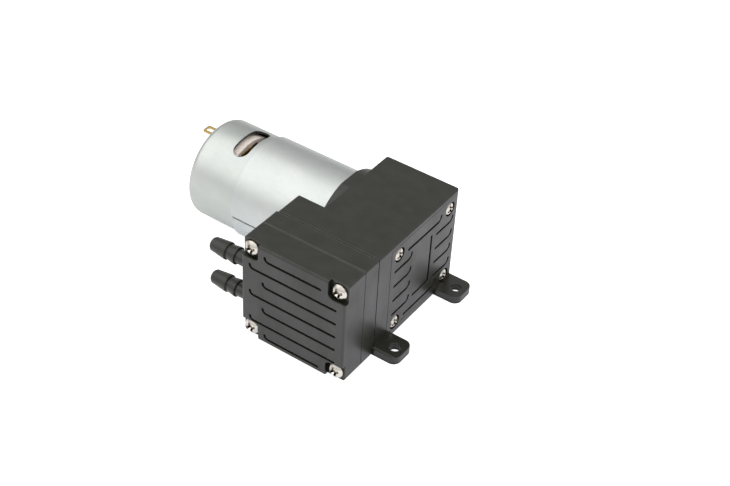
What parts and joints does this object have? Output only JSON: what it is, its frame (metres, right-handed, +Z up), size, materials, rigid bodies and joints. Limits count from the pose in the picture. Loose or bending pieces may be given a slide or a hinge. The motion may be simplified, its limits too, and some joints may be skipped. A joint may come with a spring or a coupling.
{
  "type": "mini vacuum pump",
  "caption": "Small diaphragm vacuum pump: square black head with two hose barbs, crankcase with screw feet, and a round brushed DC motor at its side.",
  "frame": {"origin": "centre of the two foot holes, on the base plane", "axes": "+X from the motor through the crank cover, along the motor shaft; -Y out of the pump head's face; +Z up from the base"},
  "size_m": [0.1032, 0.0679, 0.04],
  "materials": {
    "black_plastic": "satin moulded",
    "nickel_steel": "nickel plated",
    "gasket_rubber": "smooth",
    "valve_rubber": "smooth",
    "stainless": "bright",
    "bearing_steel": "ground",
    "cast_aluminium": "cast",
    "brass": "bright",
    "bronze": "sintered",
    "black_steel": "black oxide",
    "zinc_plated_steel": "zinc plated",
    "ferrite": "sintered",
    "core_steel": "laminated",
    "copper": "enamelled",
    "phenolic": "moulded",
    "nylon": "moulded",
    "carbon": "pressed",
    "spring_steel": "drawn"
  },
  "bodies": {
    "housing": {"head_cover": "black_plastic", "head_screws": "nickel_steel", "head_gasket": "gasket_rubber", "valve_body": "black_plastic", "outlet_retainer": "stainless", "inlet_retainer": "stainless", "retainer_screws": "nickel_steel", "diaphragm": "valve_rubber", "crankcase": "black_plastic", "crank_gasket": "gasket_rubber", "crank_cover": "black_plastic", "crank_cover_screws": "nickel_steel", "motor_screws": "nickel_steel", "motor_can": "zinc_plated_steel", "flux_ring": "zinc_plated_steel", "front_plate": "zinc_plated_steel", "front_bush": "bronze", "rear_bush": "bronze", "magnets": "ferrite", "magnet_clips": "stainless", "brush_card": "phenolic", "brush_boxes": "brass", "brushes": "carbon", "brush_springs": "spring_steel", "terminals": "brass"},
    "crankshaft": {"motor_shaft": "stainless", "armature_core": "core_steel", "armature_winding": "copper", "commutator": "copper", "commutator_hub": "phenolic", "shaft_spacers": "nylon", "eccentric": "brass", "grub_screw": "black_steel", "bearing_inner_ring": "bearing_steel", "bearing_balls": "bearing_steel"},
    "rod": {"connecting_rod": "cast_aluminium", "bearing_outer_ring": "bearing_steel", "clamp_plate": "stainless", "clamp_screw": "nickel_steel"},
    "inlet_valve": {"inlet_valve_disc": "valve_rubber"},
    "outlet_valve": {"outlet_valve_disc": "valve_rubber"}
  },
  "joints": [
    {"name": "shaft_spin", "type": "hinge", "parent": "housing", "child": "crankshaft", "pos_m": [-0.02585, 0.0058, 0.0193], "axis": [1, 0, 0], "continuous": true, "deforming": ["diaphragm"]},
    {"name": "rod_follow", "type": "hinge", "parent": "crankshaft", "child": "rod", "pos_m": [-0.02585, 0.0078, 0.0193], "axis": [1, 0, 0], "continuous": true},
    {"name": "inlet_valve_lift", "type": "slide", "parent": "housing", "child": "inlet_valve", "axis": [0, 1, 0], "range_m": [0, 0.0007]},
    {"name": "outlet_valve_lift", "type": "slide", "parent": "housing", "child": "outlet_valve", "axis": [0, -1, 0], "range_m": [0, 0.0007]}
  ],
  "couplings": [
    {"joint": "rod_follow", "follows": "shaft_spin", "ratio": -1}
  ]
}
